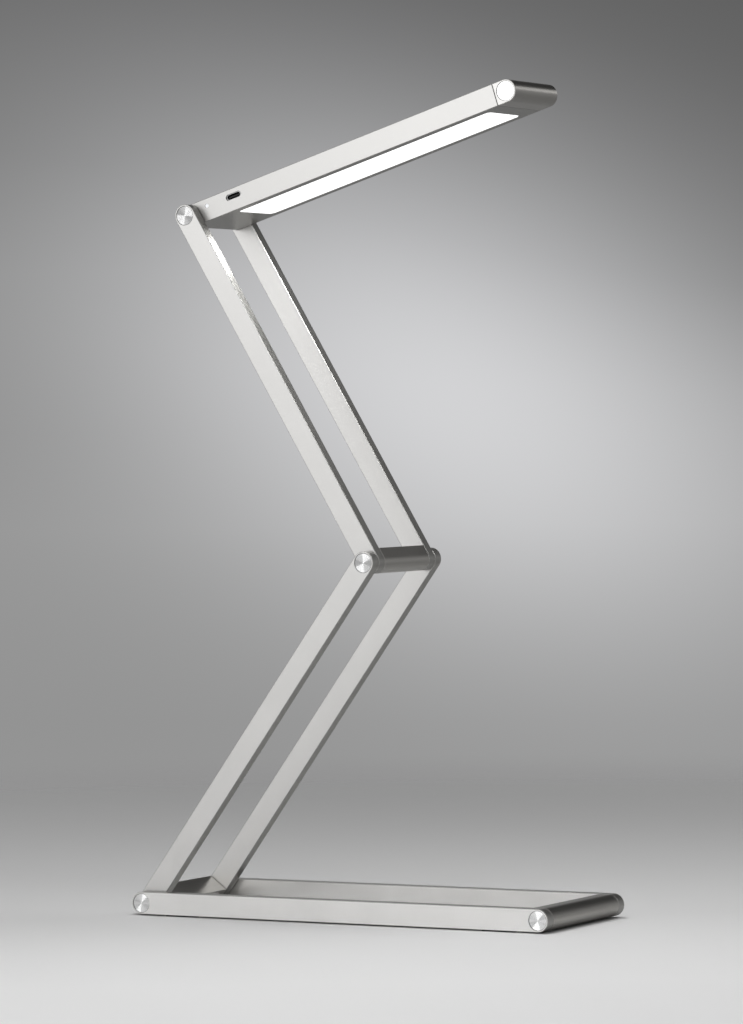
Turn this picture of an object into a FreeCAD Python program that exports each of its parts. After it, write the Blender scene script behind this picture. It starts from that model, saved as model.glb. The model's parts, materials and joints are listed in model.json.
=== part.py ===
import FreeCAD, Part
import math
import os

# Accordion desk lamp: three slim metal frames and a flat light head that fold into one another.
# The base frame is the widest. The lower arm nests inside it, the upper arm inside the lower
# arm, and the head inside the upper arm, so that the closed lamp is as thick as one bar.
# Every link is built along +X from its own lower pivot, with its near side at -Y, and is then
# turned about Y to its place. Lengths are in millimetres and angles in degrees.

# Bars: one section all over, with a round nose about each pivot.
BAR_HEIGHT = 12.0
BAR_THICKNESS = 6.4
LANE_GAP = 0.4
EDGE_BEVEL = 0.3
NOSE_RADIUS = BAR_HEIGHT / 2
HEAD_WIDTH = 48.0

# Pivot to pivot lengths: each frame is one fold step shorter than the one around it.
BASE_SPAN = 240.0
FOLD_STEP = 11.6
LOWER_ARM_SPAN = BASE_SPAN - FOLD_STEP
UPPER_ARM_SPAN = LOWER_ARM_SPAN - FOLD_STEP
HEAD_SPAN = 200.4
CROSSBAR_FLAT = 5.3

# Directions at rest, above the +X axis.
LOWER_ARM_RISE = 53.4
UPPER_ARM_RISE = 120.8
HEAD_RISE = 16.9

# Lanes from the head outwards: the bars of the upper arm, the lower arm and the base.
UPPER_LANE = 1
LOWER_LANE = 2
BASE_LANE = 3

# Round caps, hinge screws and washers, as depths below the outer bar's outer face.
CAP_RECESS_RADIUS = 5.25
CAP_RADIUS = 5.15
CAP_SINK = 0.25
CAP_RECESS_DEPTH = 1.05
CAP_BEVEL = 0.15
COUNTERBORE_RADIUS = 4.2
COUNTERBORE_DEPTH = 3.2
SCREW_HEAD_RADIUS = 4.0
SCREW_HEAD_TOP = 1.3
SHOULDER_HEAD_BOTTOM = 2.8
SOCKET_ACROSS_FLATS = 3.0
SOCKET_DEPTH = 1.0
SHOULDER_RADIUS = 2.5
SHOULDER_CLEARANCE = 0.05
THREAD_RADIUS = 1.95
THREAD_HOLE_RADIUS = 2.0
THREAD_HOLE_DEPTH = 10.0
THREAD_END_SPARE = 0.5
THREAD_LEAD = 0.4
SCREW_CLEARANCE_RADIUS = 2.1
WASHER_RADIUS = 5.0
WASHER_SEAT_RADIUS = 5.1
WASHER_SEAT_DEPTH = 0.4
WASHER_CLEARANCE = 0.03
SPRING_INNER_RADIUS = 2.65
SPRING_OUTER_RADIUS = 3.9
SPRING_SHEET = 0.22
SPRING_SLACK = 0.03

# Dowels between each bar and its crossbar.
DOWEL_RADIUS = 0.98
DOWEL_HOLE_RADIUS = 1.0
DOWEL_X = 2.6
DOWEL_Z = 3.4
DOWEL_IN_BAR = 2.8
DOWEL_IN_CROSSBAR = 4.5

# Rubber feet under the base bars.
FOOT_PROUD = 0.6
FOOT_INSET = 0.8
FOOT_LENGTH = 20.0
FOOT_WIDTH = 4.2
FOOT_PLAY = 0.05
FOOT_FROM_PIVOT = 24.0

# Head housing: a flat tube with a round hinge end, open at the nose end.
SIDE_WALL = 2.0
FLAT_WALL = 1.4
HOLLOW_START = 6.4
NOSE_SEAM = HEAD_SPAN - 6.4
RIB_REACH = 1.2
RIB_BOTTOM = 2.6
RIB_TOP = 3.35
INSERT_RADIUS = 3.0
INSERT_PLAY = 0.02

# Light window and what lies behind it.
WINDOW_START = 25.0
WINDOW_END = 185.0
WINDOW_HALF_WIDTH = 18.0
WINDOW_CORNER = 3.0
WINDOW_PLAY = 0.1
WINDOW_SINK = 0.15
FLANGE_OVERLAP = 2.0
FLANGE_THICKNESS = 0.8
TRAY_TOP = -0.7
TRAY_WEB = 0.5
TRAY_TAPER = 2.5
LED_BOARD_HALF_WIDTH = 16.0
LED_BOARD_THICKNESS = 0.9
LED_COUNT = 14
LED_FIRST_X = 31.0
LED_LAST_X = 179.0
LED_ROW_Y = 8.0
LED_LENGTH = 2.8
LED_WIDTH = 3.5
LED_HEIGHT = 0.7
LED_OPENING_PLAY = 0.2

# Battery and its padding.
BATTERY_START = 56.0
BATTERY_END = 178.0
BATTERY_HALF_WIDTH = 17.5
BATTERY_BOTTOM = 0.5
BATTERY_TOP = 4.1
BATTERY_EDGE = 1.2
TAPE_WIDTH = 18.0

# Control board, socket and charge light.
BOARD_START = 8.4
BOARD_END = 48.0
BOARD_HALF_WIDTH = 21.8
BOARD_BOTTOM = 3.4
BOARD_TOP = 4.4
BOARD_CORNER = 1.0
SOCKET_X = 28.4
SOCKET_Z = 1.75
SLOT_LENGTH = 9.7
SLOT_HEIGHT = 3.4
SHELL_LENGTH = 8.94
SHELL_HEIGHT = 3.26
SHELL_WALL = 0.3
SHELL_SINK = 0.4
SHELL_DEPTH = 7.3
TONGUE_LENGTH = 6.7
TONGUE_THICKNESS = 0.7
TONGUE_SINK = 0.7
SOCKET_BACK = 1.3
LENS_X = 11.0
LENS_Z = 2.1
LENS_HOLE_RADIUS = 1.1
LENS_RADIUS = 1.05
LENS_SINK = 0.3
LENS_LENGTH = 3.4
CHARGE_LED_LENGTH = 1.6
CHARGE_LED_DEPTH = 1.4
CHARGE_LED_DROP = 2.0

# Push button in the near side of the nose, and the switch behind it.
BUTTON_RECESS_DEPTH = 2.2
BUTTON_SINK = 0.2
BUTTON_THICKNESS = 1.2
BUTTON_BEVEL = 0.2
STEM_RADIUS = 1.5
STEM_CLEARANCE = 0.05
SWITCH_POCKET_WALL = 5.5
STEM_PAST_WALL = 0.3
CLIP_RADIUS = 2.6
CLIP_THICKNESS = 0.2
CLIP_PLAY = 0.02
PLUNGER_RADIUS = 1.2
PLUNGER_LENGTH = 2.6
PLUNGER_BORE_RADIUS = 1.3
PLUNGER_BORE_DEPTH = 1.6
SWITCH_SIZE = 6.0
SWITCH_GAP = 1.9
SWITCH_DEPTH = 3.4
POCKET_HALF_HEIGHT = 3.2
POCKET_LENGTH = 9.5
POCKET_NOSE_X = HEAD_SPAN + 3.2
TENON_LENGTH = 6.0
TENON_HALF_WIDTH = 20.6
TENON_HALF_HEIGHT = 4.5
CABLE_WAY_END = 21.0
CABLE_WAY_DEPTH = 5.0

# Flat cables inside the head.
RIBBON_THICKNESS = 0.3
RIBBON_LOW = -0.4
RIBBON_HIGH = 2.4
RIBBON_BEND = 1.2
RIBBON_Y = 20.25
RIBBON_START = 38.0
RIBBON_TURN_X = 191.0
LED_CABLE_X = 50.0
LED_CABLE_HALF_WIDTH = 5.0
LEAD_RADIUS = 0.55
LEAD_Y = 3.0
LEAD_Z = 2.3

TINY = 1e-6
V = FreeCAD.Vector
Y_AXIS = V(0, 1, 0)
Z_AXIS = V(0, 0, 1)

AXIS_Z = FOOT_PROUD + NOSE_RADIUS
HEAD_HALF = HEAD_WIDTH / 2
INNER_BOTTOM = FLAT_WALL - NOSE_RADIUS
INNER_TOP = NOSE_RADIUS - FLAT_WALL
INNER_SIDE = HEAD_HALF - SIDE_WALL
FLANGE_TOP = INNER_BOTTOM + FLANGE_THICKNESS
FLANGE_START = WINDOW_START - FLANGE_OVERLAP
FLANGE_END = WINDOW_END + FLANGE_OVERLAP
FLANGE_HALF_WIDTH = WINDOW_HALF_WIDTH + FLANGE_OVERLAP
LED_BOARD_TOP = TRAY_TOP + LED_BOARD_THICKNESS
SHOULDER_END = BAR_THICKNESS + LANE_GAP + WASHER_SEAT_DEPTH
POCKET_Y = SWITCH_POCKET_WALL - HEAD_HALF
STEM_END_Y = POCKET_Y + STEM_PAST_WALL
SWITCH_FRONT_Y = POCKET_Y + SWITCH_GAP
SWITCH_BACK_Y = SWITCH_FRONT_Y + SWITCH_DEPTH


def inner_face(lane):
    """Distance from the middle plane to a bar's inner face."""
    return HEAD_HALF + LANE_GAP + (lane - 1) * (BAR_THICKNESS + LANE_GAP)


def at_depth(lane, depth):
    """Y of the plane that lies a given depth below the near bar's outer face."""
    return depth - inner_face(lane) - BAR_THICKNESS


def box(x_range, y_range, z_range):
    """A block between the given limits."""
    corner = V(x_range[0], y_range[0], z_range[0])
    return Part.makeBox(
        x_range[1] - x_range[0], y_range[1] - y_range[0], z_range[1] - z_range[0], corner
    )


def rod(radius, y_start, y_end, x=0.0, z=0.0):
    """A round rod along Y."""
    return Part.makeCylinder(radius, y_end - y_start, V(x, y_start, z), Y_AXIS)


def plate(x_range, y_range, z_range, corner):
    """A level plate with four rounded corners."""
    block = box(x_range, y_range, z_range)
    upright = [e for e in block.Edges if e.BoundBox.XLength < TINY and e.BoundBox.YLength < TINY]
    return block.makeFillet(corner, upright)


def long_hole(length, height, y_range, x, z):
    """A prism along Y whose section is a slot with round ends."""
    radius = height / 2
    reach = length / 2 - radius
    body = box((x - reach, x + reach), y_range, (z - radius, z + radius))
    ends = [rod(radius, y_range[0], y_range[1], x + side * reach, z) for side in (-1, 1)]
    return body.fuse(ends).removeSplitter()


def nose_prism(flat_x, half_width):
    """A crosswise bar: a round nose about the pivot and a flat face at flat_x."""
    low = -half_width
    top = V(0, low, NOSE_RADIUS)
    bottom = V(0, low, -NOSE_RADIUS)
    flat_top = V(flat_x, low, NOSE_RADIUS)
    flat_bottom = V(flat_x, low, -NOSE_RADIUS)
    nose = Part.Arc(bottom, V(-NOSE_RADIUS, low, 0), top).toShape()
    sides = [
        Part.makeLine(top, flat_top),
        Part.makeLine(flat_top, flat_bottom),
        Part.makeLine(flat_bottom, bottom),
    ]
    face = Part.Face(Part.Wire([nose] + sides))
    return face.extrude(V(0, 2 * half_width, 0))


def link_prism(length, y_low, y_high):
    """A bar from pivot to pivot, round at both ends."""
    radius = NOSE_RADIUS
    start_nose = Part.Arc(V(0, y_low, -radius), V(-radius, y_low, 0), V(0, y_low, radius))
    end_nose = Part.Arc(
        V(length, y_low, radius), V(length + radius, y_low, 0), V(length, y_low, -radius)
    )
    top = Part.makeLine(V(0, y_low, radius), V(length, y_low, radius))
    bottom = Part.makeLine(V(length, y_low, -radius), V(0, y_low, -radius))
    face = Part.Face(Part.Wire([start_nose.toShape(), top, end_nose.toShape(), bottom]))
    return face.extrude(V(0, y_high - y_low, 0))


def bevel_ends(shape):
    """Bevel the edges of the two faces that look along Y."""
    edges = [e for e in shape.Edges if e.BoundBox.YLength < TINY]
    return shape.makeChamfer(EDGE_BEVEL, edges)


def bevel_flat(shape, flat_x):
    """Bevel the two long edges of the flat face at flat_x."""
    edges = [
        e for e in shape.Edges
        if e.BoundBox.XLength < TINY and e.BoundBox.ZLength < TINY
        and abs(e.BoundBox.XMin - flat_x) < TINY
    ]
    return shape.makeChamfer(EDGE_BEVEL, edges)


def far_copy(shape):
    """The same piece on the far side."""
    return shape.mirror(V(0, 0, 0), Y_AXIS)


def pair(shape):
    """A near piece and its far copy, as separate solids."""
    return Part.makeCompound([shape, far_copy(shape)])


# ---- Frames: bars, crossbars, dowels ----


def dowels(y_start, y_end, radius):
    """The two round dowels, or their holes, beside the pivot."""
    return [rod(radius, y_start, y_end, DOWEL_X, side * DOWEL_Z) for side in (-1, 1)]


def cap_seat(lane, x):
    """The stepped hole under a round cap: a recess and a counterbore."""
    outer = at_depth(lane, 0)
    recess = rod(CAP_RECESS_RADIUS, outer, at_depth(lane, CAP_RECESS_DEPTH), x)
    counterbore = rod(COUNTERBORE_RADIUS, outer, at_depth(lane, COUNTERBORE_DEPTH), x)
    return [recess, counterbore]


def side_bar(length, lane, hinged_at_crossbar):
    """The near bar of a frame: its crossbar end at x = 0 and its hinge bore at the far end."""
    outer = at_depth(lane, 0)
    inner = at_depth(lane, BAR_THICKNESS)
    bar = bevel_ends(link_prism(length, outer, inner))
    cuts = cap_seat(lane, length)
    cuts.append(rod(SHOULDER_RADIUS + SHOULDER_CLEARANCE, outer, inner, length))
    cuts.append(rod(SCREW_CLEARANCE_RADIUS, outer, inner))
    cuts.extend(dowels(inner - DOWEL_IN_BAR, inner, DOWEL_HOLE_RADIUS))
    if hinged_at_crossbar:
        cuts.append(rod(WASHER_SEAT_RADIUS, outer, outer + WASHER_SEAT_DEPTH))
    else:
        cuts.extend(cap_seat(lane, 0))
    return bar.cut(cuts)


def crossbar(lane):
    """The bar between two side bars, with threaded and dowel holes in its ends."""
    half = inner_face(lane)
    bar = bevel_ends(nose_prism(CROSSBAR_FLAT, half))
    near = [rod(THREAD_HOLE_RADIUS, -half, THREAD_HOLE_DEPTH - half)]
    near.extend(dowels(-half, DOWEL_IN_CROSSBAR - half, DOWEL_HOLE_RADIUS))
    return bar.cut(near + [far_copy(hole) for hole in near])


def frame_dowels(lane):
    """All four dowels of a frame."""
    joint = -inner_face(lane)
    near = dowels(joint - DOWEL_IN_BAR, joint + DOWEL_IN_CROSSBAR, DOWEL_RADIUS)
    return Part.makeCompound(near + [far_copy(pin) for pin in near])


# ---- Hinges: caps, screws, washers ----


def edges_at(shape, y):
    """The edges that lie flat in the plane at y."""
    return [
        e for e in shape.Edges if e.BoundBox.YLength < TINY and abs(e.BoundBox.YMin - y) < TINY
    ]


def disc(face, back, bevel, x):
    """A turned disc about Y with a bevelled outer rim."""
    blank = rod(CAP_RADIUS, face, back, x)
    return blank.makeChamfer(bevel, edges_at(blank, face))


def caps(lane, x):
    """The near and far caps, each bonded to the ledge of its recess."""
    return pair(disc(at_depth(lane, CAP_SINK), at_depth(lane, CAP_RECESS_DEPTH), CAP_BEVEL, x))


def hex_socket(lane):
    """The hexagonal key hole in a screw head."""
    top = at_depth(lane, SCREW_HEAD_TOP)
    corner_radius = SOCKET_ACROSS_FLATS / 2 / math.cos(math.radians(30))
    turns = [math.radians(60 * i) for i in range(7)]
    corners = [V(corner_radius * math.cos(a), top, corner_radius * math.sin(a)) for a in turns]
    return Part.Face(Part.makePolygon(corners)).extrude(V(0, SOCKET_DEPTH, 0))


def socket_screw(lane, steps):
    """A screw with a hexagon socket: steps are (radius, depth) pairs below the head."""
    start = SCREW_HEAD_TOP
    body = []
    for radius, depth in steps:
        body.append(rod(radius, at_depth(lane, start), at_depth(lane, depth)))
        start = depth
    thread = body[-1]
    body[-1] = thread.makeChamfer(THREAD_LEAD, edges_at(thread, at_depth(lane, start)))
    return body[0].fuse(body[1:]).cut(hex_socket(lane))


def hinge_screw(outer_lane):
    """A shoulder screw: its shoulder turns in the outer bar, its thread holds the inner link."""
    thread_end = 2 * BAR_THICKNESS + LANE_GAP + THREAD_HOLE_DEPTH - THREAD_END_SPARE
    return socket_screw(
        outer_lane,
        [
            (SCREW_HEAD_RADIUS, SHOULDER_HEAD_BOTTOM),
            (SHOULDER_RADIUS, SHOULDER_END),
            (THREAD_RADIUS, thread_end),
        ],
    )


def front_screw():
    """A plain screw that holds a base bar to the base crossbar."""
    thread_end = BAR_THICKNESS + THREAD_HOLE_DEPTH - THREAD_END_SPARE
    return socket_screw(
        BASE_LANE, [(SCREW_HEAD_RADIUS, COUNTERBORE_DEPTH), (THREAD_RADIUS, thread_end)]
    )


def ring(radius, bore, y_start, y_end, x=0.0):
    """A flat washer about Y."""
    return rod(radius, y_start, y_end, x).cut(rod(bore, y_start, y_end, x))


def friction_washer(outer_lane):
    """A plastic washer, half sunk in the inner link, that fills the gap between two links."""
    start = at_depth(outer_lane, BAR_THICKNESS + WASHER_CLEARANCE)
    end = at_depth(outer_lane, SHOULDER_END)
    return ring(WASHER_RADIUS, SHOULDER_RADIUS + SHOULDER_CLEARANCE, start, end)


def spring_washer(outer_lane):
    """A cone spring under the screw head, which presses the links together."""
    top = at_depth(outer_lane, SHOULDER_HEAD_BOTTOM)
    bottom = at_depth(outer_lane, COUNTERBORE_DEPTH - SPRING_SLACK)
    section = Part.makePolygon(
        [
            V(SPRING_INNER_RADIUS, top, 0),
            V(SPRING_INNER_RADIUS, top + SPRING_SHEET, 0),
            V(SPRING_OUTER_RADIUS, bottom, 0),
            V(SPRING_OUTER_RADIUS, bottom - SPRING_SHEET, 0),
            V(SPRING_INNER_RADIUS, top, 0),
        ]
    )
    return Part.Face(section).revolve(V(0, 0, 0), Y_AXIS, 360)


# ---- Base feet ----


def foot_outline(play, x, y):
    """A pad, or its pocket, with round ends."""
    height = FOOT_PROUD + FOOT_INSET
    half_width = FOOT_WIDTH / 2 + play
    reach = (FOOT_LENGTH - FOOT_WIDTH) / 2
    body = box((x - reach, x + reach), (y - half_width, y + half_width), (0, height))
    ends = [Part.makeCylinder(half_width, height, V(x + side * reach, y, 0)) for side in (-1, 1)]
    return body.fuse(ends).removeSplitter()


def foot_places():
    """Where the four feet are, in the lamp's own frame."""
    x = BASE_SPAN / 2 - FOOT_FROM_PIVOT
    y = inner_face(BASE_LANE) + BAR_THICKNESS / 2
    return [(side * x, end * y) for side in (-1, 1) for end in (-1, 1)]


def feet():
    """Four rubber pads."""
    return Part.makeCompound([foot_outline(0, x, y) for x, y in foot_places()])


def foot_pockets():
    """The pockets that the pads sit in."""
    return [foot_outline(FOOT_PLAY, x, y) for x, y in foot_places()]


# ---- Head: housing, nose, button ----


def head_housing():
    """The flat tube, with its window, socket slot, light hole and two board ribs."""
    outer = bevel_flat(bevel_ends(nose_prism(NOSE_SEAM, HEAD_HALF)), NOSE_SEAM)
    hollow = box(
        (HOLLOW_START, NOSE_SEAM + 1), (-INNER_SIDE, INNER_SIDE), (INNER_BOTTOM, INNER_TOP)
    )
    ribs = [
        box((HOLLOW_START, NOSE_SEAM - EDGE_BEVEL), y_range, (RIB_BOTTOM, RIB_TOP))
        for y_range in (
            (-INNER_SIDE, RIB_REACH - INNER_SIDE),
            (INNER_SIDE - RIB_REACH, INNER_SIDE),
        )
    ]
    window = plate(
        (WINDOW_START, WINDOW_END),
        (-WINDOW_HALF_WIDTH, WINDOW_HALF_WIDTH),
        (-NOSE_RADIUS, INNER_BOTTOM),
        WINDOW_CORNER,
    )
    through_side = (-HEAD_HALF, RIB_REACH - INNER_SIDE)
    slot = long_hole(SLOT_LENGTH, SLOT_HEIGHT, through_side, SOCKET_X, SOCKET_Z)
    lens_hole = rod(LENS_HOLE_RADIUS, through_side[0], through_side[1], LENS_X, LENS_Z)
    seat = rod(WASHER_SEAT_RADIUS, -HEAD_HALF, WASHER_SEAT_DEPTH - HEAD_HALF)
    insert_hole = rod(INSERT_RADIUS + INSERT_PLAY, -HEAD_HALF, insert_end_y())
    hinge_cuts = [seat, insert_hole, far_copy(seat), far_copy(insert_hole)]
    shell = outer.cut(hollow).fuse(ribs)
    return shell.cut([window, slot, lens_hole] + hinge_cuts)


def insert_end_y():
    """How far the threaded inserts reach into the head's hinge end."""
    return BAR_THICKNESS + THREAD_HOLE_DEPTH - HEAD_HALF


def thread_inserts():
    """Two brass sleeves that take the head's hinge screws."""
    return pair(
        ring(INSERT_RADIUS, THREAD_HOLE_RADIUS, WASHER_SEAT_DEPTH - HEAD_HALF, insert_end_y())
    )


def nose_end():
    """The round end piece of the head, with a tenon, a button recess and a switch pocket."""
    flat_x = HEAD_SPAN - NOSE_SEAM
    nose = bevel_flat(bevel_ends(nose_prism(flat_x, HEAD_HALF)), flat_x)
    nose.rotate(V(0, 0, 0), Z_AXIS, 180)
    nose.translate(V(HEAD_SPAN, 0, 0))
    tenon_start = NOSE_SEAM - TENON_LENGTH
    tenon = box(
        (tenon_start, NOSE_SEAM + EDGE_BEVEL),
        (-TENON_HALF_WIDTH, TENON_HALF_WIDTH),
        (-TENON_HALF_HEIGHT, TENON_HALF_HEIGHT),
    )
    pocket_z = (-POCKET_HALF_HEIGHT, POCKET_HALF_HEIGHT)
    switch_pocket = box((tenon_start, POCKET_NOSE_X), (POCKET_Y, POCKET_Y + POCKET_LENGTH), pocket_z)
    cable_way = box(
        (tenon_start, tenon_start + CABLE_WAY_DEPTH), (POCKET_Y, CABLE_WAY_END), pocket_z
    )
    recess = rod(CAP_RECESS_RADIUS, -HEAD_HALF, BUTTON_RECESS_DEPTH - HEAD_HALF, HEAD_SPAN)
    stem_bore = rod(STEM_RADIUS + STEM_CLEARANCE, -HEAD_HALF, POCKET_Y, HEAD_SPAN)
    disc_seat = far_copy(
        rod(CAP_RECESS_RADIUS, -HEAD_HALF, CAP_RECESS_DEPTH - HEAD_HALF, HEAD_SPAN)
    )
    return nose.fuse(tenon).cut([switch_pocket, cable_way, recess, stem_bore, disc_seat])


def nose_disc():
    """The plain turned disc on the far side of the nose."""
    back = CAP_RECESS_DEPTH - HEAD_HALF
    return far_copy(disc(CAP_SINK - HEAD_HALF, back, CAP_BEVEL, HEAD_SPAN))


def power_button():
    """The round button with its stem."""
    face = BUTTON_SINK - HEAD_HALF
    back = face + BUTTON_THICKNESS
    stem = rod(STEM_RADIUS, back - BUTTON_BEVEL, STEM_END_Y, HEAD_SPAN)
    return disc(face, back, BUTTON_BEVEL, HEAD_SPAN).fuse(stem)


def button_clip():
    """The ring that keeps the stem in its bore."""
    start = POCKET_Y + WASHER_CLEARANCE
    return ring(CLIP_RADIUS, STEM_RADIUS + CLIP_PLAY, start, start + CLIP_THICKNESS, HEAD_SPAN)


def switch_plunger():
    """The moving pin of the switch, which the stem pushes."""
    return rod(PLUNGER_RADIUS, STEM_END_Y, STEM_END_Y + PLUNGER_LENGTH, HEAD_SPAN)


def button_switch():
    """The body of the switch."""
    half = SWITCH_SIZE / 2
    body = box((HEAD_SPAN - half, HEAD_SPAN + half), (SWITCH_FRONT_Y, SWITCH_BACK_Y), (-half, half))
    bore = rod(PLUNGER_BORE_RADIUS, SWITCH_FRONT_Y, SWITCH_FRONT_Y + PLUNGER_BORE_DEPTH, HEAD_SPAN)
    return body.cut(bore)


def switch_pad():
    """The rubber block that holds the switch forward in its pocket."""
    half = SWITCH_SIZE / 2
    y_range = (SWITCH_BACK_Y + RIBBON_THICKNESS, POCKET_Y + POCKET_LENGTH)
    return box((HEAD_SPAN - half, HEAD_SPAN + half), y_range, (-half, half))


# ---- Head: light ----


def diffuser():
    """The white window, stepped so that its flange rests inside the housing."""
    lens = plate(
        (WINDOW_START + WINDOW_PLAY, WINDOW_END - WINDOW_PLAY),
        (WINDOW_PLAY - WINDOW_HALF_WIDTH, WINDOW_HALF_WIDTH - WINDOW_PLAY),
        (WINDOW_SINK - NOSE_RADIUS, FLANGE_TOP),
        WINDOW_CORNER - WINDOW_PLAY,
    )
    flange = plate(
        (FLANGE_START, FLANGE_END),
        (-FLANGE_HALF_WIDTH, FLANGE_HALF_WIDTH),
        (INNER_BOTTOM, FLANGE_TOP),
        WINDOW_CORNER,
    )
    return lens.fuse(flange).removeSplitter()


def rectangle(x_range, half_width, z):
    """A closed level rectangle."""
    return Part.makePolygon(
        [
            V(x_range[0], -half_width, z),
            V(x_range[1], -half_width, z),
            V(x_range[1], half_width, z),
            V(x_range[0], half_width, z),
            V(x_range[0], -half_width, z),
        ]
    )


def led_places():
    """The middle of each light, in two rows."""
    pitch = (LED_LAST_X - LED_FIRST_X) / (LED_COUNT - 1)
    return [(LED_FIRST_X + i * pitch, row * LED_ROW_Y) for i in range(LED_COUNT) for row in (-1, 1)]


def led_block(x, y, play):
    """One light, or the opening for it."""
    half_length = LED_LENGTH / 2 + play
    half_width = LED_WIDTH / 2 + play
    return box(
        (x - half_length, x + half_length),
        (y - half_width, y + half_width),
        (TRAY_TOP - LED_HEIGHT, TRAY_TOP),
    )


def reflector_tray():
    """A white tray with sloping sides and an opening for each light."""
    tray = box(
        (FLANGE_START, FLANGE_END), (-FLANGE_HALF_WIDTH, FLANGE_HALF_WIDTH), (FLANGE_TOP, TRAY_TOP)
    )
    mouth = rectangle((WINDOW_START, WINDOW_END), WINDOW_HALF_WIDTH, FLANGE_TOP)
    floor = rectangle(
        (WINDOW_START + TRAY_TAPER, WINDOW_END - TRAY_TAPER),
        WINDOW_HALF_WIDTH - TRAY_TAPER,
        TRAY_TOP - TRAY_WEB,
    )
    funnel = Part.makeLoft([mouth, floor], True)
    openings = [led_block(x, y, LED_OPENING_PLAY) for x, y in led_places()]
    return tray.cut([funnel] + openings)


def leds():
    """All the lights."""
    return Part.makeCompound([led_block(x, y, 0) for x, y in led_places()])


def led_board():
    """The metal-backed board that carries the lights."""
    y_range = (-LED_BOARD_HALF_WIDTH, LED_BOARD_HALF_WIDTH)
    return box((FLANGE_START, FLANGE_END), y_range, (TRAY_TOP, LED_BOARD_TOP))


# ---- Head: battery and electronics ----


def insulator_sheet():
    """The thin sheet between the light board and the battery."""
    y_range = (-BATTERY_HALF_WIDTH, BATTERY_HALF_WIDTH)
    return box((BATTERY_START, BATTERY_END), y_range, (LED_BOARD_TOP, BATTERY_BOTTOM))


def battery():
    """The flat battery pouch."""
    block = box(
        (BATTERY_START, BATTERY_END),
        (-BATTERY_HALF_WIDTH, BATTERY_HALF_WIDTH),
        (BATTERY_BOTTOM, BATTERY_TOP),
    )
    long_edges = [e for e in block.Edges if e.BoundBox.XLength > TINY]
    return block.makeFillet(BATTERY_EDGE, long_edges)


def battery_tapes():
    """Two strips of foam tape that hold the battery to the housing."""
    reach = BATTERY_HALF_WIDTH - BATTERY_EDGE
    starts = (BATTERY_START + TAPE_WIDTH, BATTERY_END - 2 * TAPE_WIDTH)
    return Part.makeCompound(
        [box((x, x + TAPE_WIDTH), (-reach, reach), (BATTERY_TOP, INNER_TOP)) for x in starts]
    )


def control_board():
    """The circuit board that slides in above the two ribs."""
    return plate(
        (BOARD_START, BOARD_END),
        (-BOARD_HALF_WIDTH, BOARD_HALF_WIDTH),
        (BOARD_BOTTOM, BOARD_TOP),
        BOARD_CORNER,
    )


def hanging(x_range, y_range, drop):
    """A component under the control board."""
    return box(x_range, y_range, (BOARD_BOTTOM - drop, BOARD_BOTTOM))


def board_components():
    """Charger chip, light driver, coil, two capacitors and three connectors."""
    charger_chip = hanging((18, 22), (-8, -4), 0.9)
    driver_chip = hanging((30, 35), (-2, 3), 1.0)
    coil = hanging((19, 24), (6, 11), 2.2)
    capacitors = [hanging((x, x + 2), (12.5, 13.7), 1.1) for x in (28, 32)]
    battery_connector = hanging((43, 47), (-4.5, 4.5), 2.4)
    switch_connector = hanging(
        (RIBBON_START, RIBBON_START + 4), (16.6, RIBBON_Y - RIBBON_THICKNESS / 2), 2.0
    )
    light_connector = hanging((36, 40), (6, 14), 1.2)
    return Part.makeCompound(
        [charger_chip, driver_chip, coil, battery_connector, switch_connector, light_connector]
        + capacitors
    )


def usb_shell():
    """The metal sleeve of the charging socket."""
    front = SHELL_SINK - HEAD_HALF
    y_range = (front, front + SHELL_DEPTH)
    outer = long_hole(SHELL_LENGTH, SHELL_HEIGHT, y_range, SOCKET_X, SOCKET_Z)
    inner = long_hole(
        SHELL_LENGTH - 2 * SHELL_WALL, SHELL_HEIGHT - 2 * SHELL_WALL, y_range, SOCKET_X, SOCKET_Z
    )
    return outer.cut(inner)


def usb_tongue():
    """The socket's plastic tongue, with the back that closes the sleeve."""
    back_end = SHELL_SINK - HEAD_HALF + SHELL_DEPTH
    tongue = box(
        (SOCKET_X - TONGUE_LENGTH / 2, SOCKET_X + TONGUE_LENGTH / 2),
        (SHELL_SINK + TONGUE_SINK - HEAD_HALF, back_end),
        (SOCKET_Z - TONGUE_THICKNESS / 2, SOCKET_Z + TONGUE_THICKNESS / 2),
    )
    inset = 2 * (SHELL_WALL + INSERT_PLAY)
    back = long_hole(
        SHELL_LENGTH - inset,
        SHELL_HEIGHT - inset,
        (back_end - SOCKET_BACK, back_end),
        SOCKET_X,
        SOCKET_Z,
    )
    return back.fuse(tongue).removeSplitter()


def indicator_lens():
    """The clear light pipe of the charge light."""
    front = LENS_SINK - HEAD_HALF
    return rod(LENS_RADIUS, front, front + LENS_LENGTH, LENS_X, LENS_Z)


def charge_led():
    """The small light behind the light pipe, under the control board."""
    start = LENS_SINK - HEAD_HALF + LENS_LENGTH
    half = CHARGE_LED_LENGTH / 2
    return hanging((LENS_X - half, LENS_X + half), (start, start + CHARGE_LED_DEPTH), CHARGE_LED_DROP)


def quarter_bend(x, y, turn):
    """A quarter ring of flat cable about (x, y), from the given direction on."""
    height = RIBBON_HIGH - RIBBON_LOW
    centre = V(x, y, RIBBON_LOW)
    outer = Part.makeCylinder(RIBBON_BEND + RIBBON_THICKNESS / 2, height, centre, Z_AXIS, 90)
    inner = Part.makeCylinder(RIBBON_BEND - RIBBON_THICKNESS / 2, height, centre, Z_AXIS, 90)
    bend = outer.cut(inner)
    bend.rotate(centre, Z_AXIS, turn)
    return bend


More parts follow.
